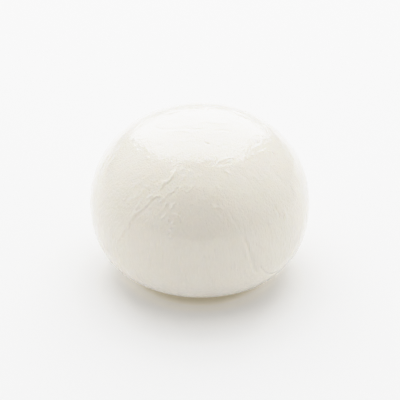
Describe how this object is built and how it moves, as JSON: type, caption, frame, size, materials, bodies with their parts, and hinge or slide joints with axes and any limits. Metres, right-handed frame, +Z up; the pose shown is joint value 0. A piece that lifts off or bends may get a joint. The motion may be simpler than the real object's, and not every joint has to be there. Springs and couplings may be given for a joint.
{
  "type": "mozzarella ball",
  "caption": "Whole fresh mozzarella ball, round and slightly settled, with a moist smooth skin, fine wrinkles and folded creases at the front.",
  "frame": {"origin": "middle of the flat spot's plane, under the centre of the ball's bounding box", "axes": "+Z up from the table, -Y towards the side with the folded skin, +X to that side's right seen from the front"},
  "size_m": [0.0652, 0.0658, 0.0504],
  "materials": {
    "cheese": "gloss"
  },
  "bodies": {
    "root": {"mozzarella_ball": "cheese"}
  },
  "joints": []
}
